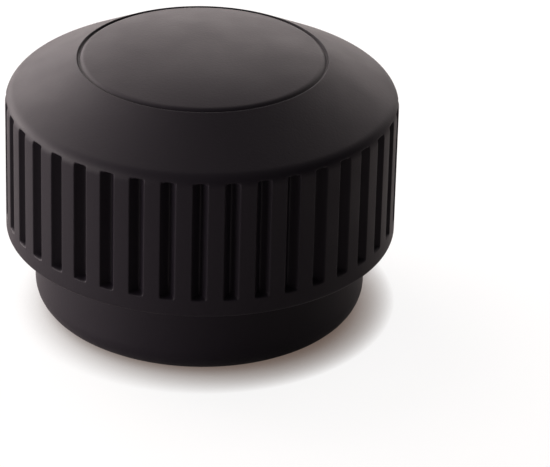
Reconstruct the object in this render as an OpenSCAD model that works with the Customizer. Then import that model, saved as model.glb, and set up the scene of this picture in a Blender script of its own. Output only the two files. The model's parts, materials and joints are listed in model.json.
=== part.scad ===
// Screw-on cap for a tyre valve, moulded in one piece.
// A fluted head with a sloping shoulder and a raised disc on top stands over a smooth collar,
// and a threaded socket opens downwards through the collar's rim.
// Origin: centre of the open rim. +Z runs up the axis of the cap, and all sizes are millimetres.

/* [Collar] */
// Outside diameter of the smooth collar
collar_d = 10.4; // [10:0.1:11.4]
// Height of the collar, from its rim to the underside of the head
collar_h = 2.55; // [1.2:0.05:5]
// Rounding of the rim's outer corner
rim_round = 0.8; // [0.1:0.05:1]
// Fillet in the corner between collar and head
neck_fillet = 0.15; // [0.05:0.05:0.3]

/* [Head] */
// Diameter of the head at its underside
foot_d = 12.2; // [11.8:0.1:16]
// Rounding of the head's lower edge
foot_round = 0.15; // [0.05:0.05:0.3]
// Plain land between the underside and the flutes
foot_land = 0.6; // [0.3:0.02:1.5]
// Angle by which the fluted side leans inwards on its way up, in degrees
side_draft = 0.3; // [0:0.1:4]
// Height from the flutes' upper ends to the sharp corner that the shoulder rounds off
top_land = 0.15; // [0.1:0.01:1.2]
// Slope of the shoulder, in degrees
shoulder_slope = 27.5; // [10:0.5:40]
// Radius of the rounded corner between side and shoulder
shoulder_round = 0.5; // [0.2:0.05:0.8]

/* [Flutes] */
// Number of flutes round the head
flutes = 40; // [24:1:48]
// Length of each flute, which is closed at both ends
flute_len = 3.84; // [1.5:0.02:8]
// Width of each flute at the ribs' crests
flute_w = 0.42; // [0.2:0.02:0.5]
// Depth of each flute below the ribs' crests
flute_depth = 0.24; // [0.18:0.01:0.4]

/* [Top disc] */
// Diameter of the ring groove round the disc, measured at the middle of its width
groove_d = 7.42; // [5:0.02:9]
// Width of the ring groove
groove_w = 0.22; // [0.2:0.02:0.6]
// Depth of the ring groove below the shoulder's inner edge
groove_depth = 0.22; // [0.1:0.02:0.5]
// Height of the disc's edge above the shoulder's inner edge
disc_step = 0.1; // [0.04:0.02:0.4]
// Rounding of the disc's edge
disc_round = 0.24; // [0.1:0.02:0.3]
// Height of the disc's crown above its edge
dome_rise = 0.26; // [0.1:0.02:0.8]

/* [Socket] */
// Diameter across the crests of the internal thread, for the standard 7.7 mm valve neck
thread_d = 6.9; // [6.5:0.05:7.3]
// Diameter of the plain mouth that guides the valve neck in
mouth_d = 8; // [7.8:0.05:8.4]
// Depth of the plain mouth
mouth_h = 0.5; // [0.2:0.05:1]
// Thickness of the top between the socket's ceiling and the floor of the ring groove
top_wall = 1.6; // [0.8:0.1:3]
// Diameter of the sealing lip where it leaves the ceiling
lip_base_d = 5.5; // [5:0.05:6]
// Diameter of the sealing lip at its free edge, which enters the valve's mouth
lip_tip_d = 4.9; // [4.4:0.05:5]
// Diameter of the clear hole inside the sealing lip, over the valve's pin
lip_bore_d = 3.8; // [2.5:0.05:4.2]
// Height of the sealing lip
lip_h = 0.9; // [0.3:0.05:1.5]
// Clear height between the end of the thread and the lip's free edge
lip_clear = 0.2; // [0.15:0.05:1]
// Diameter of the socket's plain upper end at the ceiling, which tapers in above the thread
ceiling_d = 6.4; // [6.2:0.05:6.5]

/* [Hidden] */
$fn = 96;
cap_colour = "#1d1c1f";

collar_r = collar_d / 2;
foot_r = foot_d / 2;
thread_r = thread_d / 2;
mouth_r = mouth_d / 2;
groove_in_r = (groove_d - groove_w) / 2;
groove_out_r = (groove_d + groove_w) / 2;
lip_base_r = lip_base_d / 2;
lip_tip_r = lip_tip_d / 2;
lip_bore_r = lip_bore_d / 2;
ceiling_r = ceiling_d / 2;

// Sharp corner between the leaning side and the shoulder
corner_z = collar_h + foot_land + flute_len + top_land;
corner_r = foot_r - (corner_z - collar_h) * tan(side_draft);

// Heights of the top
shoulder_z = corner_z + (corner_r - groove_out_r) * tan(shoulder_slope);
groove_z = shoulder_z - groove_depth;
disc_z = shoulder_z + disc_step;

// Heights inside the socket
thread_z0 = mouth_h + mouth_r - thread_r;
ceiling_z = groove_z - top_wall;
lip_z = ceiling_z - lip_h;
thread_z1 = lip_z - lip_clear;

// Largest share of a wall that one fillet may take up, and two fillets that face each other
fillet_share = 0.9;
edge_share = 0.8;
rim_r = min(rim_round, fillet_share * (collar_r - mouth_r));
edge_r = min(disc_round, edge_share * (groove_depth + disc_step));
groove_r = fillet_share * min(groove_w / 2, groove_depth, groove_depth + disc_step - edge_r);

// How far a cutter runs past the surface that it cuts
overrun = 0.5;

// Points of an arc about centre c, from angle a0 to a1
function arc(c, r, a0, a1, steps = 6) =
    [for (i = [0 : steps]) let (a = a0 + (a1 - a0) * i / steps) c + r * [cos(a), sin(a)]];

// Arc that rounds the corner between side and shoulder, and touches both
function shoulder_arc() =
    let (side = [cos(side_draft), sin(side_draft)],
         top = [sin(shoulder_slope), cos(shoulder_slope)])
    arc([corner_r, corner_z] - shoulder_round * (side + top) / (1 + side * top),
        shoulder_round, side_draft, 90 - shoulder_slope);

// Arc of the crowned disc, from its rounded edge in to the axis
function crown_arc() =
    let (half = groove_in_r - edge_r,
         r = (half * half + dome_rise * dome_rise) / (2 * dome_rise),
         spread = asin(half / r))
    arc([0, disc_z + dome_rise - r], r, 90 - spread, 90, 10);

// Outline of the cap without its flutes and its socket, to the right of the axis
function outer_outline() = concat(
    [[0, 0]],
    arc([collar_r - rim_r, rim_r], rim_r, -90, 0),
    arc([collar_r + neck_fillet, collar_h - neck_fillet], neck_fillet, 180, 90, 4),
    arc([foot_r - foot_round, collar_h + foot_round], foot_round, -90, 0, 4),
    shoulder_arc(),
    [[groove_out_r, shoulder_z]],
    arc([groove_out_r - groove_r, groove_z + groove_r], groove_r, 0, -90, 4),
    arc([groove_in_r + groove_r, groove_z + groove_r], groove_r, -90, -180, 4),
    arc([groove_in_r - edge_r, disc_z - edge_r], edge_r, 0, 90, 4),
    crown_arc()
);

// Outline of the socket: mouth, lead-in cone, threaded wall, plain taper, and ceiling with its lip
function socket_outline() = [
    [0, -overrun],
    [mouth_r, -overrun],
    [mouth_r, mouth_h],
    [thread_r, thread_z0],
    [thread_r, thread_z1],
    [ceiling_r, ceiling_z],
    [lip_base_r, ceiling_z],
    [lip_tip_r, lip_z],
    [lip_bore_r, lip_z],
    [lip_bore_r, ceiling_z],
    [0, ceiling_z]
];

// Cutter of one flute, which follows the leaning side and has a round bottom
module flute() {
    translate([foot_r, 0, collar_h])
        rotate([0, -side_draft, 0])
            translate([0, 0, foot_land])
                linear_extrude(flute_len) {
                    translate([flute_w / 2 - flute_depth, 0])
                        circle(d = flute_w);
                    translate([flute_w / 2 - flute_depth, -flute_w / 2])
                        square([overrun, flute_w]);
                }
}

module cap() {
    color(cap_colour)
        difference() {
            rotate_extrude() polygon(outer_outline());
            rotate_extrude() polygon(socket_outline());
            for (i = [0 : flutes - 1])
                rotate([0, 0, i * 360 / flutes - 90]) flute();
        }
}

cap();
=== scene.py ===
"""Dresses the moulded valve cap: its finely rounded body with flutes and thread, its plastic, and the studio.

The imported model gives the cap's width, its height and the wall that carries its thread. The other sizes are
real ones in millimetres, and most are those of the solid that the fine body stands for. The flutes' walls,
the ring groove and the disc's edge follow the photograph more closely than the solid does, and the thread
and the smallest fillets are only here.
"""

import json
import logging
import math
from dataclasses import dataclass, field
from enum import Enum
from typing import Optional, Sequence, Union

import bmesh
import bpy
from mathutils import Matrix, Vector


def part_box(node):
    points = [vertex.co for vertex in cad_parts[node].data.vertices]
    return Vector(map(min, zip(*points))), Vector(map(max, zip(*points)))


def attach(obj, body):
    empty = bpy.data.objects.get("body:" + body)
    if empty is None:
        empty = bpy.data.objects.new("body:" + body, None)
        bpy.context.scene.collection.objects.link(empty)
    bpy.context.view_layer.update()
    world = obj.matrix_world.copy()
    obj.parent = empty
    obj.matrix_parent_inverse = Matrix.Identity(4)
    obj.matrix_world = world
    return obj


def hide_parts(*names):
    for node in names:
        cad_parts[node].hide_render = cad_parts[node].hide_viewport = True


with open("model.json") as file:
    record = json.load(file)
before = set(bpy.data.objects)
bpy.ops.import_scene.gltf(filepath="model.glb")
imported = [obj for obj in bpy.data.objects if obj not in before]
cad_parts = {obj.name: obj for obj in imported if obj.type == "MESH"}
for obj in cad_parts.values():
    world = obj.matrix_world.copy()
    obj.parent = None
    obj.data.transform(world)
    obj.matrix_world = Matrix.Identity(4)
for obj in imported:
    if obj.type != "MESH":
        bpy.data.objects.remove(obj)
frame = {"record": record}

MM = 0.001
INCH_MM = 25.4
IMAGE_W, IMAGE_H = 550, 467
CAD_NODE = "cap"
BODY = "root"
THREAD_MOUNT = "valve_thread"

# The angle of the front, which is -Y, where the middle of a flute lies
FRONT = -math.pi / 2
# How close together corners are welded into one, and how short an edge is dissolved, in metres
WELD = 0.001 * MM
SHORTEST_EDGE = WELD / 10
# How far from the end of a straight run its extra ring lies, and the shortest run that has it, in millimetres
SUPPORT = 0.035
SHORTEST_RUN = 3 * SUPPORT
# Fewest chords in a corner's rounding
FEWEST_CHORDS = 2

# Kinds of node that come more than once
MATHS = "ShaderNodeMath"
MAP_RANGE = "ShaderNodeMapRange"
MIX = "ShaderNodeMix"

Point = tuple[float, float]
Colour = tuple[float, float, float, float]
Ring = list[bmesh.types.BMVert]
Input = Union[bpy.types.Node, bpy.types.NodeSocket, float, Sequence[float]]

log = logging.getLogger("valve_cap")


def linear_colour(hex_code: str) -> Colour:
    """Turns an sRGB hex colour into a linear one, by the constants of the sRGB curve.

    Args:
        hex_code: the colour as "#RRGGBB".

    Returns:
        Red, green, blue and an alpha of 1, in linear light.
    """
    parts = [int(hex_code[i:i + 2], 16) / 255 for i in (1, 3, 5)]
    linear = [p / 12.92 if p <= 0.04045 else ((p + 0.055) / 1.055) ** 2.4 for p in parts]
    return (*linear, 1.0)


def wire(tree: bpy.types.NodeTree, node: bpy.types.Node, links: dict[Union[str, int], Input]) -> None:
    """Links or sets the inputs of one node.

    Args:
        tree: the tree that the node is in.
        node: the node.
        links: input socket, by name or number, to what goes in: an output socket, a node that gives its
            first output, or a plain value.
    """
    for socket, value in links.items():
        source = value.outputs[0] if isinstance(value, bpy.types.Node) else value
        if isinstance(source, bpy.types.NodeSocket):
            tree.links.new(source, node.inputs[socket])
        else:
            node.inputs[socket].default_value = source


def add_node(tree: bpy.types.NodeTree, kind: str, links: Optional[dict[Union[str, int], Input]] = None,
             **settings: object) -> bpy.types.Node:
    """Adds one node with its settings, its socket values and its links.

    Args:
        tree: the tree that the node joins.
        kind: the node's type name.
        links: what goes into its inputs, as for wire.
        settings: attributes of the node itself.

    Returns:
        The new node.
    """
    node = tree.nodes.new(kind)
    for name, value in settings.items():
        setattr(node, name, value)
    wire(tree, node, links or {})
    return node


def add_object(name: str, data: bpy.types.ID) -> bpy.types.Object:
    """Adds an object to the scene, at the origin.

    Args:
        name: the object's name.
        data: the mesh, lamp or camera that it holds.

    Returns:
        The new object.
    """
    obj = bpy.data.objects.new(name, data)
    bpy.context.scene.collection.objects.link(obj)
    return obj


def start_material(name: str) -> tuple[bpy.types.Material, bpy.types.NodeTree, bpy.types.Node]:
    """Starts a material that is made of nodes.

    Args:
        name: the material's name.

    Returns:
        The material, its tree and the shader that the tree ends in.
    """
    material = bpy.data.materials.new(name)
    material.use_nodes = True
    return material, material.node_tree, material.node_tree.nodes["Principled BSDF"]


def clamp(value: float) -> float:
    """Keeps a value between 0 and 1."""
    return min(max(value, 0.0), 1.0)


def smooth_step(value: float) -> float:
    """Gives a step from 0 to 1 that starts and ends gently.

    Args:
        value: where on the step, from 0 at its foot to 1 at its top.

    Returns:
        The height on the step.
    """
    t = clamp(value)
    return t * t * (3 - 2 * t)


@dataclass(frozen=True)
class Corner:
    """One corner of a turned outline.

    Attributes:
        r: its distance from the axis, in millimetres.
        z: its height above the rim, in millimetres.
        fillet: the radius that rounds it off, or 0 for a sharp corner.
        turn: the largest angle between two chords of its rounding, in degrees.
    """

    r: float
    z: float
    fillet: float = 0.0
    turn: float = 11.0

    @property
    def place(self) -> Vector:
        """The corner's place in the plane of the outline."""
        return Vector((self.r, self.z))


def rounding(before: Corner, corner: Corner, after: Corner) -> list[Vector]:
    """Rounds one corner off with an arc that touches both of its sides.

    Args:
        before: the corner before it.
        corner: the corner itself.
        after: the corner after it.

    Returns:
        The points of the arc, or the corner's own place where it is sharp.
    """
    here = corner.place
    if corner.fillet <= 0:
        return [here]
    back = (before.place - here).normalized()
    ahead = (after.place - here).normalized()
    half = back.angle(ahead) / 2
    centre = here + (back + ahead).normalized() * corner.fillet / math.sin(half)
    reach = corner.fillet / math.tan(half)
    start, end = here + back * reach - centre, here + ahead * reach - centre
    sweep = start.angle_signed(end)
    chords = max(FEWEST_CHORDS, math.ceil(abs(math.degrees(sweep)) / corner.turn))
    return [centre + Matrix.Rotation(-sweep * k / chords, 2) @ start for k in range(chords + 1)]


def rounded_outline(corners: Sequence[Corner]) -> list[Point]:
    """Rounds the corners of an outline, and sets a ring close to each end of its long straight runs.

    The extra rings keep the shading of a flat or conical run from bleeding into the fillet beside it.

    Args:
        corners: the outline's corners in order.

    Returns:
        The outline's points as radius and height.
    """
    arcs = [rounding(*three) for three in zip(corners, corners[1:], corners[2:])]
    arcs = [[corners[0].place], *arcs, [corners[-1].place]]
    points: list[Point] = [tuple(p) for p in arcs[0]]
    for arc, following in zip(arcs, arcs[1:]):
        gap = following[0] - arc[-1]
        if gap.length > SHORTEST_RUN:
            inset = gap.normalized() * SUPPORT
            points += [tuple(arc[-1] + inset), tuple(following[0] - inset)]
        points += [tuple(p) for p in following]
    return points


@dataclass
class Flutes:
    """The flutes round the head, each closed at both ends, in millimetres.

    Attributes:
        count: how many there are.
        bottom: the height of their lower ends.
        length: from end to end.
        width: the width of each between the crests of its ribs.
        depth: the depth of its middle below the crests.
        lead: how far its rounded edge runs on past its width and its ends.
        end: the length over which its floor comes up at a closed end.
        floor_power: the power of the curve across its floor, where 2 is a parabola.
        edge_share: the share of its half width over which its edge is rounded.
        ring_steps: where the side needs rings, as heights above the lower ends.
    """

    count: int = 40
    bottom: float = 3.15
    length: float = 3.84
    width: float = 0.42
    depth: float = 0.3
    lead: float = 0.03
    end: float = 0.1
    floor_power: float = 1.5
    edge_share: float = 0.16
    ring_steps: tuple[float, ...] = (-0.08, -0.05, -0.03, -0.01, 0.01, 0.025, 0.04, 0.055, 0.07, 0.1, 0.16)

    @property
    def top(self) -> float:
        """Height of the flutes' closed upper ends."""
        return self.bottom + self.length

    @property
    def pitch(self) -> float:
        """Angle from one flute to the next, in radians."""
        return 2 * math.pi / self.count

    def relief(self, across: float, height: float) -> float:
        """Gives how deep a flute is at one place.

        Args:
            across: distance from the flute's middle, round the head.
            height: height above the rim.

        Returns:
            The depth below the ribs' crests, in millimetres.
        """
        inward = clamp(1 - abs(across) / (self.width / 2 + self.lead))
        section = (1 - (1 - inward) ** self.floor_power) * smooth_step(inward / self.edge_share)
        from_end = self.length / 2 - abs(height - self.bottom - self.length / 2)
        return self.depth * section * smooth_step((from_end + self.lead) / self.end)

    def reach(self, height: float) -> bool:
        """Tells whether a ring at this height may touch the flutes.

        Args:
            height: the ring's height above the rim.

        Returns:
            True from just below the flutes to just above them.
        """
        return self.bottom - self.end <= height <= self.top + self.end

    def rings(self, outline: Sequence[Point]) -> list[Point]:
        """Adds the rings that the flutes' lower ends need to the outline of the head.

        Args:
            outline: the outline's points, in order.

        Returns:
            The outline with the new points in place.
        """
        heights = [self.bottom + step for step in self.ring_steps]
        points: list[Point] = []
        for (r0, h0), (r1, h1) in zip(outline, outline[1:]):
            points.append((r0, h0))
            points += [(r0 + (r1 - r0) * (h - h0) / (h1 - h0), h) for h in heights if h0 < h < h1]
        return points + [outline[-1]]


class Columns(Enum):
    """The places of a sector's columns, as shares of one flute's pitch away from its middle."""

    COARSE = (0, 0.25, 0.5)
    FINE = (0, 0.02, 0.045, 0.08, 0.12, 0.165, 0.2, 0.22, 0.235, 0.25, 0.28, 0.39, 0.5)

    @property
    def shares(self) -> list[float]:
        """The shares on both sides of the flute's middle, in order."""
        return [-s for s in reversed(self.value[1:])] + list(self.value)


class SectorMesh:
    """Builds the slice of the cap that holds one flute, ring by ring along the turned outline."""

    def __init__(self, flutes: Flutes) -> None:
        """Starts an empty slice.

        Args:
            flutes: the flutes that it is cut for.
        """
        self.flutes = flutes
        self.mesh = bmesh.new()
        self.last: Optional[tuple[Ring, Columns]] = None

    def lift(self) -> None:
        """Ends the present run of rings, so that the next ring starts a new one."""
        self.last = None

    def ring(self, point: Point, columns: Columns) -> None:
        """Adds one ring and joins it to the ring before.

        Args:
            point: radius and height of the ring, in millimetres.
            columns: where its columns stand.
        """
        r, z = point
        verts = []
        for share in columns.shares:
            angle = share * self.flutes.pitch
            depth = self.flutes.relief(angle * r, z) if columns is Columns.FINE else 0.0
            place = Vector((math.cos(angle), math.sin(angle), 0)) * (r - depth) + Vector((0, 0, z))
            verts.append(self.mesh.verts.new(place * MM))
        if self.last is not None:
            self._join(*self.last, verts, columns)
        self.last = (verts, columns)

    def run(self, points: Sequence[Point], fluted: bool = False) -> None:
        """Adds a ring for each point of an outline.

        Args:
            points: radius and height of each ring, in millimetres.
            fluted: whether this is the side that carries the flutes.
        """
        for point in points:
            self.ring(point, Columns.FINE if fluted and self.flutes.reach(point[1]) else Columns.COARSE)

    def _join(self, below: Ring, below_columns: Columns, above: Ring, above_columns: Columns) -> None:
        """Fills the strip between two rings, also where one of them has more columns than the other.

        Args:
            below: the first ring's corners.
            below_columns: where they stand.
            above: the second ring's corners.
            above_columns: where they stand.
        """
        coarser = below_columns if len(below) <= len(above) else above_columns
        for low, high in zip(coarser.shares, coarser.shares[1:]):
            under = [v for v, s in zip(below, below_columns.shares) if low <= s <= high]
            over = [v for v, s in zip(above, above_columns.shares) if low <= s <= high]
            self.mesh.faces.new(under + over[::-1])

    def finish(self, name: str) -> bpy.types.Object:
        """Turns the slice into an object.

        Args:
            name: the object's name.

        Returns:
            The new object.
        """
        data = bpy.data.meshes.new(name)
        self.mesh.to_mesh(data)
        self.mesh.free()
        return add_object(name, data)


class NodeShape:
    """A shape that a geometry node tree makes, with named inputs for its sizes."""

    SOCKETS = {int: "NodeSocketInt", float: "NodeSocketFloat", bpy.types.Material: "NodeSocketMaterial"}

    def __init__(self, name: str, sizes: dict[str, Union[int, float, bpy.types.Material]]) -> None:
        """Starts a tree with a geometry input and one input for each size.

        Args:
            name: the tree's name.
            sizes: each input's name and value.
        """
        self.sizes = sizes
        self.tree = bpy.data.node_groups.new(name, "GeometryNodeTree")
        face = self.tree.interface
        face.new_socket("Geometry", in_out="INPUT", socket_type="NodeSocketGeometry")
        self.identifiers = {}
        for label, value in sizes.items():
            kind = self.SOCKETS[type(value)]
            self.identifiers[label] = face.new_socket(label, in_out="INPUT", socket_type=kind).identifier
        face.new_socket("Geometry", in_out="OUTPUT", socket_type="NodeSocketGeometry")
        self.inputs = add_node(self.tree, "NodeGroupInput").outputs

    def close(self, geometry: bpy.types.Node, obj: bpy.types.Object) -> bpy.types.Object:
        """Ends the tree and turns its result into a plain mesh.

        Args:
            geometry: the node that gives the finished geometry.
            obj: the object that the tree works on, which is used up.

        Returns:
            A new object with the mesh that the tree made.
        """
        add_node(self.tree, "NodeGroupOutput", {0: geometry})
        modifier = obj.modifiers.new(self.tree.name, "NODES")
        modifier.node_group = self.tree
        for label, value in self.sizes.items():
            modifier[self.identifiers[label]] = value
        graph = bpy.context.evaluated_depsgraph_get()
        data = bpy.data.meshes.new_from_object(obj.evaluated_get(graph))
        bpy.data.objects.remove(obj)
        return add_object(self.tree.name, data)


def repeat_round_axis(sector: bpy.types.Object, count: int, material: bpy.types.Material) -> bpy.types.Object:
    """Repeats one slice round the upright axis and welds the slices into one skin.

    Args:
        sector: the slice, whose middle lies along +X. It is used up.
        count: how many slices make the whole round.
        material: the finish.

    Returns:
        The whole skin, with the middle of a slice at the front.
    """
    shape = NodeShape("fluted_turning", {
        "Count": count, "First Angle": FRONT, "Weld Distance": WELD, "Finish": material})
    tree, sizes = shape.tree, shape.inputs
    places = add_node(tree, "GeometryNodeMeshLine", {"Count": sizes["Count"], "Offset": (0, 0, 0)})
    number = add_node(tree, "GeometryNodeInputIndex")
    step = add_node(tree, MATHS, {0: 2 * math.pi, 1: sizes["Count"]}, operation="DIVIDE")
    angle = add_node(tree, MATHS, {0: number, 1: step, 2: sizes["First Angle"]}, operation="MULTIPLY_ADD")
    turn = add_node(tree, "ShaderNodeCombineXYZ", {"Z": angle})
    slices = add_node(tree, "GeometryNodeInstanceOnPoints", {
        "Points": places, "Instance": sizes["Geometry"], "Rotation": turn})
    real = add_node(tree, "GeometryNodeRealizeInstances", {0: slices})
    welded = add_node(tree, "GeometryNodeMergeByDistance", {
        "Geometry": real, "Distance": sizes["Weld Distance"]})
    finished = add_node(tree, "GeometryNodeSetMaterial", {"Geometry": welded, "Material": sizes["Finish"]})
    return shape.close(finished, sector)


@dataclass
class ThreadedWall:
    """The right-hand internal thread, moulded into the wall of the socket, in millimetres.

    Attributes:
        crest_r: the radius of its crests.
        z0: the height of its lower end.
        z1: the height of its upper end.
        pitch: the rise of one turn, at 32 threads to the inch.
        groove: the depth of its root behind the crests.
        root_half: half the width of the flat root, as a share of the pitch.
        flank_end: where a flank meets the crest, as a share of the pitch from the middle of the root.
        rows: how many rows of faces make one turn.
    """

    crest_r: float
    z0: float
    z1: float
    pitch: float = INCH_MM / 32
    groove: float = 0.42
    root_half: float = 0.05
    flank_end: float = 0.39
    rows: int = 14

    def build(self, columns: int, material: bpy.types.Material) -> bpy.types.Object:
        """Builds the wall by bending a flat grid, whose rows become the thread's turns, round the axis.

        Args:
            columns: how many columns go round the wall.
            material: the finish.

        Returns:
            The wall, open at both ends.
        """
        # Each row climbs by one pitch on its way round, so the rows need one turn more to fill the wall
        turns = math.ceil((self.z1 - self.z0) / self.pitch) + 1
        shape = NodeShape("threaded_wall", {
            "Crest Radius": self.crest_r * MM, "Bottom": self.z0 * MM, "Top": self.z1 * MM,
            "Pitch": self.pitch * MM, "Groove": self.groove * MM, "Root Half": self.root_half,
            "Flank End": self.flank_end, "Turns": turns, "Rows A Turn": self.rows, "Columns": columns,
            "First Angle": FRONT, "Weld Distance": WELD, "Finish": material})
        tree, sizes = shape.tree, shape.inputs
        rows = add_node(tree, MATHS, {0: sizes["Turns"], 1: sizes["Rows A Turn"]}, operation="MULTIPLY")
        grid = add_node(tree, "GeometryNodeMeshGrid", {
            "Size X": 1.0, "Size Y": 1.0,
            "Vertices X": add_node(tree, MATHS, {0: rows, 1: 1.0}, operation="ADD"),
            "Vertices Y": add_node(tree, MATHS, {0: sizes["Columns"], 1: 1.0}, operation="ADD")})
        # The grid's middle is at the origin, so half its side turns a place on it into shares from 0 to 1
        shares = add_node(tree, "ShaderNodeVectorMath", {
            0: add_node(tree, "GeometryNodeInputPosition"), 1: (0.5, 0.5, 0)}, operation="ADD")
        share = add_node(tree, "ShaderNodeSeparateXYZ", {0: shares}).outputs
        turn = add_node(tree, MATHS, {0: share["X"], 1: sizes["Turns"]}, operation="MULTIPLY")
        height = self._height(shape, turn, share["Y"])
        radius = add_node(tree, MATHS, {
            0: sizes["Crest Radius"], 1: self._depth(shape, turn, height)}, operation="ADD")
        angle = add_node(tree, MATHS, {
            0: share["Y"], 1: 2 * math.pi, 2: sizes["First Angle"]}, operation="MULTIPLY_ADD")
        point = add_node(tree, "ShaderNodeCombineXYZ", {"Z": height})
        for axis, operation in (("X", "COSINE"), ("Y", "SINE")):
            part = add_node(tree, MATHS, {0: angle}, operation=operation)
            wire(tree, point, {axis: add_node(tree, MATHS, {0: radius, 1: part}, operation="MULTIPLY")})
        bent = add_node(tree, "GeometryNodeSetPosition", {"Geometry": grid, "Position": point})
        welded = add_node(tree, "GeometryNodeMergeByDistance", {
            "Geometry": bent, "Distance": sizes["Weld Distance"]})
        real = add_node(tree, "GeometryNodeRealizeInstances", {0: welded})
        finished = add_node(tree, "GeometryNodeSetMaterial", {"Geometry": real, "Material": sizes["Finish"]})
        return shape.close(finished, add_object("thread_holder", bpy.data.meshes.new("thread_holder")))

    @staticmethod
    def _height(shape: NodeShape, turn: bpy.types.Node, round_share: bpy.types.NodeSocket) -> bpy.types.Node:
        """Adds the height of each corner of the grid, which climbs with the thread and keeps to the wall.

        Args:
            shape: the tree with its sizes.
            turn: how many turns up the corner's row starts, from one turn below the wall.
            round_share: how far round the corner lies, from 0 to 1.

        Returns:
            The node that gives the height, in metres.
        """
        sizes = shape.inputs
        height = turn
        for operation, other in (("SUBTRACT", 1.0), ("ADD", round_share), ("MULTIPLY", sizes["Pitch"]),
                                 ("ADD", sizes["Bottom"]), ("MAXIMUM", sizes["Bottom"]),
                                 ("MINIMUM", sizes["Top"])):
            height = add_node(shape.tree, MATHS, {0: height, 1: other}, operation=operation)
        return height

    @staticmethod
    def _depth(shape: NodeShape, turn: bpy.types.Node, height: bpy.types.Node) -> bpy.types.Node:
        """Adds the depth of the groove, which has its root at each half turn and fades out at both ends.

        Args:
            shape: the tree with its sizes.
            turn: how many turns up the corner's row starts.
            height: the corner's height.

        Returns:
            The node that gives the depth behind the crests, in metres.
        """
        tree, sizes = shape.tree, shape.inputs
        part = add_node(tree, MATHS, {0: turn}, operation="FRACT")
        aside = add_node(tree, MATHS, {0: part, 1: 0.5}, operation="SUBTRACT")
        from_root = add_node(tree, MATHS, {0: aside}, operation="ABSOLUTE")
        low_end = add_node(tree, MATHS, {0: sizes["Bottom"], 1: sizes["Pitch"]}, operation="ADD")
        high_end = add_node(tree, MATHS, {0: sizes["Top"], 1: sizes["Pitch"]}, operation="SUBTRACT")
        flank, low_fade, high_fade = (
            add_node(tree, MAP_RANGE, {"Value": value, "From Min": none, "From Max": full, "To Max": most},
                     interpolation_type="SMOOTHSTEP")
            for value, none, full, most in (
                (from_root, sizes["Flank End"], sizes["Root Half"], sizes["Groove"]),
                (height, sizes["Bottom"], low_end, 1.0),
                (height, sizes["Top"], high_end, 1.0)))
        fade = add_node(tree, MATHS, {0: low_fade, 1: high_fade}, operation="MULTIPLY")
        return add_node(tree, MATHS, {0: flank, 1: fade}, operation="MULTIPLY")


@dataclass
class Socket:
    """The socket: plain mouth, lead-in cone, thread, taper, and ceiling with its lip, in millimetres.

    Attributes:
        thread_r: the radius of the thread's crests.
        thread_z0: the height of the thread's lower end.
        thread_z1: the height of the thread's upper end.
        mouth_r: the radius of the plain mouth.
        mouth_h: the height of the plain mouth.
        mouth_round: the rounding of the mouth's edge at the rim.
        lead_round: the rounding between the mouth and the lead-in cone.
        roof: the plastic between the ceiling and the floor of the ring groove.
        ceiling_r: the radius of the ceiling.
        ceiling_fillet: the fillets at the ceiling's edge and inside the sealing lip.
        lip_h: the height of the sealing lip.
        lip_base_r: its radius where it leaves the ceiling.
        lip_base_fillet: the fillet there.
        lip_tip_r: its radius at its free edge.
        lip_tip_round: the outer rounding of its free edge.
        lip_bore_r: the radius of the clear hole inside it.
        lip_bore_round: the inner rounding of its free edge.
    """

    thread_r: float
    thread_z0: float
    thread_z1: float
    mouth_r: float = 4.0
    mouth_h: float = 0.5
    mouth_round: float = 0.06
    lead_round: float = 0.05
    roof: float = 1.72
    ceiling_r: float = 3.2
    ceiling_fillet: float = 0.15
    lip_h: float = 0.9
    lip_base_r: float = 2.75
    lip_base_fillet: float = 0.1
    lip_tip_r: float = 2.45
    lip_tip_round: float = 0.15
    lip_bore_r: float = 1.9
    lip_bore_round: float = 0.1

    def mouth(self) -> list[Corner]:
        """Gives the corners from the lower end of the thread to the mouth's edge at the rim."""
        return [
            Corner(self.thread_r, self.thread_z0),
            Corner(self.mouth_r, self.mouth_h, self.lead_round),
            Corner(self.mouth_r, 0, self.mouth_round),
        ]

    def ceiling(self, groove_z: float) -> list[Corner]:
        """Gives the corners of the socket's upper end.

        Args:
            groove_z: the height of the ring groove's floor.

        Returns:
            The corners from the axis over the ceiling and its sealing lip to the top of the thread.
        """
        ceiling_z = groove_z - self.roof
        lip_z = ceiling_z - self.lip_h
        return [
            Corner(0, ceiling_z),
            Corner(self.lip_bore_r, ceiling_z, self.ceiling_fillet),
            Corner(self.lip_bore_r, lip_z, self.lip_bore_round),
            Corner(self.lip_tip_r, lip_z, self.lip_tip_round),
            Corner(self.lip_base_r, ceiling_z, self.lip_base_fillet),
            Corner(self.ceiling_r, ceiling_z, self.ceiling_fillet),
            Corner(self.thread_r, self.thread_z1),
        ]

    def wall(self) -> ThreadedWall:
        """Gives the threaded wall between the mouth and the ceiling."""
        return ThreadedWall(self.thread_r, self.thread_z0, self.thread_z1)


@dataclass
class RingGroove:
    """The shallow ring groove between the shoulder and the disc, in millimetres.

    Attributes:
        r: the radius of the middle of its floor.
        half: half the width of its floor.
        depth: the depth of its floor below the shoulder's inner edge.
        wall: how far its outer wall leans outwards on its way up.
        fillet: the rounding of its corners.
    """

    r: float = 3.815
    half: float = 0.015
    depth: float = 0.07
    wall: float = 0.04
    fillet: float = 0.02

    @property
    def foot_r(self) -> float:
        """Radius of the foot of the outer wall."""
        return self.r + self.half

    @property
    def edge_r(self) -> float:
        """Radius of the shoulder's inner edge."""
        return self.foot_r + self.wall


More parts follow.
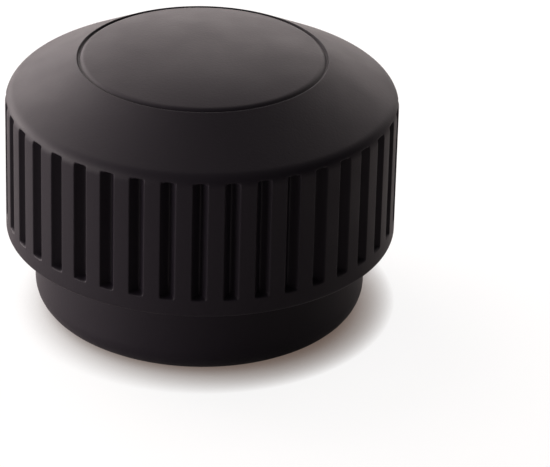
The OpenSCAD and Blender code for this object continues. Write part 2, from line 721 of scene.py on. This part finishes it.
@dataclass
class TopDisc:
    """The crowned disc in the middle of the shoulder, in millimetres.

    Attributes:
        rim_r: the radius of its edge.
        rim_h: the height of its edge above the groove's floor.
        rim_round: the rounding of its edge.
        rim_slope: the slope of its crown at the edge, in degrees.
        rim_turn: the largest angle between two chords of the edge's rounding, in degrees.
        crown_rings: how many rings the crown has.
    """

    rim_r: float = 3.7
    rim_h: float = 0.1
    rim_round: float = 0.25
    rim_slope: float = 13.0
    rim_turn: float = 4.0
    crown_rings: int = 12

    def outline(self, groove: RingGroove, groove_z: float, top_z: float) -> list[Point]:
        """Gives the disc's outline, whose crown is a power curve that leaves the edge at its slope.

        Args:
            groove: the ring groove round the disc.
            groove_z: the height of the groove's floor.
            top_z: the height of the crown.

        Returns:
            The points from the middle of the groove's floor over the disc to the axis.
        """
        rim_z = groove_z + self.rim_h
        slope = math.tan(math.radians(self.rim_slope))
        points = rounded_outline([
            Corner(groove.r, groove_z),
            Corner(groove.r - groove.half, groove_z, groove.fillet),
            Corner(self.rim_r, rim_z, self.rim_round, self.rim_turn),
            Corner(0, rim_z + self.rim_r * slope),
        ])
        # The straight run to the axis gives the edge its slope, and the crown replaces its last two points
        edge = points[:-2]
        start_r, start_z = edge[-1]
        rise = top_z - start_z
        power = slope * start_r / rise
        radii = [start_r * (1 - k / self.crown_rings) for k in range(1, self.crown_rings + 1)]
        return edge + [(r, top_z - rise * (r / start_r) ** power) for r in radii]


@dataclass
class MouldedCap:
    """The cap itself, one moulding: collar, fluted head, shoulder, ring groove, disc and socket.

    Attributes:
        head_r: the radius of the head at its underside.
        top_z: the height of the crown.
        socket: the socket inside it.
        flutes: the flutes round the head.
        groove: the ring groove round the disc.
        disc: the disc on top.
        collar_r: the radius of the collar.
        collar_h: the height of the collar, up to the underside of the head.
        rim_round: the rounding of the rim's outer corner.
        neck_fillet: the fillet between the collar and the head.
        foot_round: the rounding of the head's lower edge.
        side_draft: the angle by which the side leans inwards, in degrees.
        top_land: from the flutes' upper ends to the sharp corner that the shoulder rounds off.
        shoulder_slope: the slope of the shoulder, in degrees.
        shoulder_round: the radius of the corner between the side and the shoulder.
        shoulder_turn: the largest angle between two chords of that corner, in degrees.
    """

    head_r: float
    top_z: float
    socket: Socket
    flutes: Flutes = field(default_factory=Flutes)
    groove: RingGroove = field(default_factory=RingGroove)
    disc: TopDisc = field(default_factory=TopDisc)
    collar_r: float = 5.2
    collar_h: float = 2.55
    rim_round: float = 0.8
    neck_fillet: float = 0.15
    foot_round: float = 0.15
    side_draft: float = 0.3
    top_land: float = 0.15
    shoulder_slope: float = 27.5
    shoulder_round: float = 0.5
    shoulder_turn: float = 3.0

    @property
    def underside(self) -> Corner:
        """The middle of the head's flat underside, where the collar's outline ends and the head's starts."""
        return Corner((self.collar_r + self.head_r) / 2, self.collar_h)

    def collar(self) -> list[Corner]:
        """Gives the corners from the lower end of the thread over the rim to the underside of the head."""
        return self.socket.mouth() + [
            Corner(self.collar_r, 0, self.rim_round),
            Corner(self.collar_r, self.collar_h, self.neck_fillet),
            self.underside,
        ]

    def head(self) -> list[Corner]:
        """Gives the head's corners.

        Returns:
            The corners from the underside of the head to the middle of the ring groove's floor.
        """
        corner_z = self.flutes.top + self.top_land
        corner_r = self.head_r - (corner_z - self.collar_h) * math.tan(math.radians(self.side_draft))
        edge_z = corner_z + (corner_r - self.groove.edge_r) * math.tan(math.radians(self.shoulder_slope))
        groove_z = edge_z - self.groove.depth
        return [
            self.underside,
            Corner(self.head_r, self.collar_h, self.foot_round),
            Corner(corner_r, corner_z, self.shoulder_round, self.shoulder_turn),
            Corner(self.groove.edge_r, edge_z, self.groove.fillet),
            Corner(self.groove.foot_r, groove_z, self.groove.fillet),
            Corner(self.groove.r, groove_z),
        ]

    def build(self, material: bpy.types.Material) -> bpy.types.Object:
        """Builds the whole cap as one closed mesh.

        Args:
            material: the plastic that it is moulded in.

        Returns:
            The finished object.
        """
        head = self.head()
        groove_z = head[-1].z
        sector = SectorMesh(self.flutes)
        sector.run(rounded_outline(self.socket.ceiling(groove_z)))
        sector.lift()
        sector.run(rounded_outline(self.collar()))
        # The head and the disc leave out their first point, which ends the run before them
        sector.run(self.flutes.rings(rounded_outline(head))[1:], fluted=True)
        sector.run(self.disc.outline(self.groove, groove_z, self.top_z)[1:])
        skin = repeat_round_axis(sector.finish("sector"), self.flutes.count, material)
        columns = self.flutes.count * (len(Columns.COARSE.shares) - 1)
        return weld_skins("cap_moulding", [skin, self.socket.wall().build(columns, material)], material)


def weld_skins(name: str, skins: Sequence[bpy.types.Object],
               material: bpy.types.Material) -> bpy.types.Object:
    """Welds open skins into one closed mesh with smooth faces that are turned outwards.

    Args:
        name: the welded object's name.
        skins: the skins, which are used up.
        material: the finish of the whole.

    Returns:
        The welded object.
    """
    whole = bmesh.new()
    for skin in skins:
        whole.from_mesh(skin.data)
        bpy.data.objects.remove(skin)
    bmesh.ops.remove_doubles(whole, verts=whole.verts, dist=WELD)
    bmesh.ops.dissolve_degenerate(whole, edges=whole.edges, dist=SHORTEST_EDGE)
    bmesh.ops.recalc_face_normals(whole, faces=whole.faces)
    for face in whole.faces:
        face.smooth = True
        face.material_index = 0
    data = bpy.data.meshes.new(name)
    whole.to_mesh(data)
    whole.free()
    data.materials.append(material)
    return add_object(name, data)


@dataclass(frozen=True)
class BlackPolypropylene:
    """Black polypropylene, injection moulded in a finely eroded mould.

    The mould's grain gives the plastic a satin skin: dark where it faces the eye, and grey where the light
    grazes it. Faint clouds of a little more or less pigment and gloss keep it from looking flat.

    Attributes:
        name: the material's name.
        dark: its colour in the darkest clouds.
        pale: its colour in the palest clouds.
        roughness: its roughness between the clouds.
        roughness_spread: how far the clouds change the roughness, up and down.
        specular: its specular level, low because the grain traps light.
        grain_mm: the size of the mould's grain.
        grain_depth_mm: the depth of the grain.
        grain_detail: how many finer layers the grain has.
        grain_fineness: how strongly they show.
        cloud_mm: the size of the clouds.
        cloud_detail: how many finer layers the clouds have.
        cloud_fineness: how strongly they show.
        cloud_range: the levels of the clouds between which the roughness changes.
    """

    name: str = "black_polypropylene_moulded"
    dark: str = "#120F15"
    pale: str = "#151218"
    roughness: float = 0.55
    roughness_spread: float = 0.03
    specular: float = 0.12
    grain_mm: float = 0.08
    grain_depth_mm: float = 0.0035
    grain_detail: float = 2.0
    grain_fineness: float = 0.5
    cloud_mm: float = 1.4
    cloud_detail: float = 3.0
    cloud_fineness: float = 0.55
    cloud_range: tuple[float, float] = (0.3, 0.7)

    def build(self) -> bpy.types.Material:
        """Builds the material.

        Returns:
            The plastic, patterned in the object's own coordinates.
        """
        material, tree, shader = start_material(self.name)
        place = add_node(tree, "ShaderNodeTexCoord").outputs["Object"]
        grain = add_node(tree, "ShaderNodeTexNoise", {
            "Vector": place, "Scale": 1 / (self.grain_mm * MM), "Detail": self.grain_detail,
            "Roughness": self.grain_fineness}).outputs["Fac"]
        cloud = add_node(tree, "ShaderNodeTexNoise", {
            "Vector": place, "Scale": 1 / (self.cloud_mm * MM), "Detail": self.cloud_detail,
            "Roughness": self.cloud_fineness}).outputs["Fac"]
        tint = add_node(tree, MIX, {
            "Factor": cloud, "A": linear_colour(self.dark), "B": linear_colour(self.pale)}, data_type="RGBA")
        gloss = add_node(tree, MAP_RANGE, {
            "Value": cloud, "From Min": self.cloud_range[0], "From Max": self.cloud_range[1],
            "To Min": self.roughness - self.roughness_spread,
            "To Max": self.roughness + self.roughness_spread})
        bump = add_node(tree, "ShaderNodeBump", {
            "Strength": 1.0, "Distance": self.grain_depth_mm * MM, "Height": grain})
        wire(tree, shader, {
            "Base Color": tint.outputs["Result"], "Roughness": gloss, "Normal": bump,
            "Specular IOR Level": self.specular})
        return material


@dataclass(frozen=True)
class PalePaper:
    """Smooth white paper, which keeps the object's soft shadow.

    Reflections see it as lit white paper. The camera sees it as the white background: most of that white is
    the paper's own, and the rest comes from the light that falls on it, so that the cap still shades it.
    Close to the cap, on the side away from the light, its own white is darkened by a painted shadow, which an
    occlusion mask lays where the cap stands over it.
    Light that bounces off it softly is held back, so that the cap's lower parts stay as dark as plastic is.

    Attributes:
        name: the material's name.
        white: its colour in reflections.
        bounce: its colour for light that bounces off it softly.
        shaded: the part of its colour that the camera sees by the light that falls on it.
        glow: its own white.
        painted_shadow_colour: the painted shadow's colour, which its own white is darkened to right beside
            the cap.
        glow_share: the strength of its own white.
        painted_shadow_mm: how far from the cap the painted shadow reaches.
        painted_shadow_power: the power that the openness of a place is raised to, which deepens the painted
            shadow.
        painted_shadow_samples: how many rays look for the cap, to lay the painted shadow.
        light_side: the direction that most of the light comes from, which turns the painted shadow away from
            it.
        roughness: its roughness.
        specular: its specular level.
    """

    name: str = "pale_paper"
    white: str = "#DEDCDA"
    bounce: str = "#9E9C9A"
    shaded: str = "#6A6968"
    glow: str = "#FFFFFF"
    # Painted shadow: the cream shade that the paper's own white is darkened to beside the cap.
    painted_shadow_colour: str = "#665449"
    glow_share: float = 0.87
    painted_shadow_mm: float = 1.2
    painted_shadow_power: float = 1.7
    painted_shadow_samples: int = 16
    light_side: tuple[float, float, float] = (-0.62, 0.3, 0.72)
    roughness: float = 0.9
    specular: float = 0.0

    def build(self) -> bpy.types.Material:
        """Builds the material.

        Returns:
            The paper.
        """
        material, tree, shader = start_material(self.name)
        path = add_node(tree, "ShaderNodeLightPath").outputs
        camera, through = path["Is Camera Ray"], path["Is Transmission Ray"]
        mirrored = add_node(tree, MATHS, {0: path["Is Glossy Ray"], 1: through}, operation="MAXIMUM")
        lit = add_node(tree, MIX, {
            "Factor": mirrored, "A": linear_colour(self.bounce), "B": linear_colour(self.white)},
            data_type="RGBA").outputs["Result"]
        tint = add_node(tree, MIX, {
            "Factor": camera, "A": lit, "B": linear_colour(self.shaded)}, data_type="RGBA").outputs["Result"]
        seen = add_node(tree, MATHS, {0: camera, 1: through}, operation="MAXIMUM")
        strength = add_node(tree, MATHS, {0: seen, 1: self.glow_share}, operation="MULTIPLY")
        # Painted shadow: an occlusion mask, turned towards the light, darkens the paper's own white beside
        # the cap in place of the cap's contact shadow.
        side = Vector(self.light_side).normalized()
        towards = add_node(tree, "ShaderNodeCombineXYZ", dict(enumerate(side)))
        openness = add_node(tree, "ShaderNodeAmbientOcclusion", {
            "Distance": self.painted_shadow_mm * MM, "Normal": towards}, samples=self.painted_shadow_samples).outputs["AO"]
        painted_shadow_mask = add_node(tree, MATHS, {0: openness, 1: self.painted_shadow_power}, operation="POWER")
        glow = add_node(tree, MIX, {
            "Factor": painted_shadow_mask, "A": linear_colour(self.painted_shadow_colour), "B": linear_colour(self.glow)},
            data_type="RGBA").outputs["Result"]
        wire(tree, shader, {
            "Base Color": tint, "Emission Color": glow, "Emission Strength": strength,
            "Roughness": self.roughness, "Specular IOR Level": self.specular})
        return material


@dataclass(frozen=True)
class SoftBox:
    """One soft lamp, which hangs round the cap and is turned to it.

    Attributes:
        azimuth: its direction round the cap, in degrees from +X.
        elevation: its direction above the floor, in degrees.
        wide: its width, in metres.
        tall: its height, in metres.
        power: its power, in watts.
        distance: how far off it hangs, in metres.
    """

    azimuth: float
    elevation: float
    wide: float
    tall: float
    power: float
    distance: float = 0.3

    @property
    def place(self) -> Vector:
        """The lamp's place, in metres from the point that it is turned to."""
        turn, lift = math.radians(self.azimuth), math.radians(self.elevation)
        flat = math.cos(lift)
        return self.distance * Vector((flat * math.cos(turn), flat * math.sin(turn), math.sin(lift)))


class Lamp(Enum):
    """The studio's soft lamps: five behind the cap, a long low one on its left and a faint one in front."""

    BACK_LEFT_LOW = SoftBox(135, 15, 0.2, 0.2, 0.96)
    BACK_LEFT_HIGH = SoftBox(135, 50, 0.2, 0.2, 0.46)
    BACK_LOW = SoftBox(98, 15, 0.2, 0.2, 0.55)
    BACK_RIGHT_LOW = SoftBox(64, 15, 0.2, 0.2, 0.42)
    BACK_RIGHT_HIGH = SoftBox(45, 50, 0.2, 0.2, 0.18)
    LEFT_LOW = SoftBox(180, 8, 0.5, 0.07, 2.8)
    FRONT_HIGH = SoftBox(-90, 55, 0.3, 0.2, 0.09)


@dataclass
class Studio:
    """The floor, the lamps, the surroundings and the camera.

    Attributes:
        aim: the point that the camera and the lamps are turned to, in metres.
        distance: from the camera to that point, in metres.
        elevation: the camera's angle above the floor, in degrees.
        roll: the camera's turn about its own line of sight, in degrees.
        focal_px: its focal length, in pixels of the photograph.
        centre_px: where its line of sight meets the photograph, from the upper left corner.
        sensor_mm: the width of its sensor.
        floor_half: half the width of the floor, in metres.
        surroundings: how strongly the surroundings light the scene, where 1 is white.
        lamp_colour: the colour of every lamp.
    """

    aim: tuple[float, float, float] = (0.0, 0.0, 0.0036)
    distance: float = 0.096
    elevation: float = 27.38
    roll: float = 0.92
    focal_px: float = 3059.8
    centre_px: Point = (200.6, 192.9)
    sensor_mm: float = 36.0
    floor_half: float = 0.5
    surroundings: float = 0.04
    lamp_colour: str = "#FFF3F1"

    def camera(self) -> None:
        """Sets the camera at the photograph's viewing angle."""
        data = bpy.data.cameras.new("camera")
        data.sensor_width = self.sensor_mm
        data.lens = self.focal_px / IMAGE_W * self.sensor_mm
        data.shift_x = (IMAGE_W / 2 - self.centre_px[0]) / IMAGE_W
        data.shift_y = (self.centre_px[1] - IMAGE_H / 2) / IMAGE_W
        data.clip_start = MM
        tilt = math.radians(self.elevation)
        back = Vector((0, -math.cos(tilt), math.sin(tilt)))
        turn = Matrix.Rotation(math.pi / 2 - tilt, 4, "X") @ Matrix.Rotation(math.radians(self.roll), 4, "Z")
        camera = add_object("camera", data)
        camera.matrix_world = Matrix.Translation(Vector(self.aim) + back * self.distance) @ turn
        bpy.context.scene.camera = camera

    def floor(self, material: bpy.types.Material) -> None:
        """Lays the floor that the cap stands on.

        Args:
            material: the floor's finish.
        """
        half = self.floor_half
        corners = [(-half, -half, 0), (half, -half, 0), (half, half, 0), (-half, half, 0)]
        data = bpy.data.meshes.new("floor")
        data.from_pydata(corners, [], [range(len(corners))])
        data.materials.append(material)
        floor = add_object("floor", data)

    def lamps(self) -> None:
        """Hangs the soft lamps and turns each one to the cap."""
        for lamp in Lamp:
            box = lamp.value
            data = bpy.data.lights.new(lamp.name.lower(), "AREA")
            data.shape = "RECTANGLE"
            data.size = box.wide
            data.size_y = box.tall
            data.energy = box.power
            data.color = linear_colour(self.lamp_colour)[:3]
            obj = add_object(lamp.name.lower(), data)
            obj.location = Vector(self.aim) + box.place
            obj.rotation_euler = (-box.place).to_track_quat("-Z", "Y").to_euler()

    def world(self) -> None:
        """Surrounds the scene with plain pale light, which the camera sees as white."""
        world = bpy.data.worlds.new("surroundings")
        world.use_nodes = True
        bpy.context.scene.world = world
        tree = world.node_tree
        path = add_node(tree, "ShaderNodeLightPath").outputs
        seen = add_node(tree, MATHS, {
            0: path["Is Camera Ray"], 1: path["Is Transmission Ray"]}, operation="MAXIMUM")
        level = add_node(tree, MAP_RANGE, {"Value": seen, "To Min": self.surroundings, "To Max": 1.0})
        wire(tree, tree.nodes["Background"], {"Color": (1, 1, 1, 1), "Strength": level})


def socket_sizes(record: dict) -> tuple[float, float, float]:
    """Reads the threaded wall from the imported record.

    Args:
        record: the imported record.

    Returns:
        The wall's radius, its lower end and its upper end, in millimetres.
    """
    mount = next(m for m in record["mounts"] if m["name"] == THREAD_MOUNT)
    bottom = mount["pos_m"][2] / MM
    return mount["dims"]["r_mm"], bottom, bottom + mount["dims"]["length_mm"]


def report(piece: bpy.types.Object) -> None:
    """Logs the faces, the open edges and the volume of a finished piece.

    Args:
        piece: the piece.
    """
    mesh = bmesh.new()
    mesh.from_mesh(piece.data)
    open_edges = sum(1 for edge in mesh.edges if not edge.is_manifold)
    volume = mesh.calc_volume(signed=True) / MM ** 3
    log.info("%s: %d faces, %d open edges, %.1f mm3", piece.name, len(mesh.faces), open_edges, volume)
    mesh.free()


def main() -> None:
    """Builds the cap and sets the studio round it."""
    logging.basicConfig(level=logging.INFO, format="%(message)s")
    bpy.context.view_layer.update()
    low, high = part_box(CAD_NODE)
    studio = Studio()
    studio.camera()
    cap = MouldedCap(
        head_r=(high.x - low.x) / 2 / MM, top_z=high.z / MM, socket=Socket(*socket_sizes(frame["record"])))
    moulding = cap.build(BlackPolypropylene().build())
    report(moulding)
    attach(moulding, BODY)
    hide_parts(CAD_NODE)
    studio.floor(PalePaper().build())
    studio.lamps()
    studio.world()
    bpy.context.scene.view_settings.view_transform = "Standard"


if __name__ == "__main__":
    main()
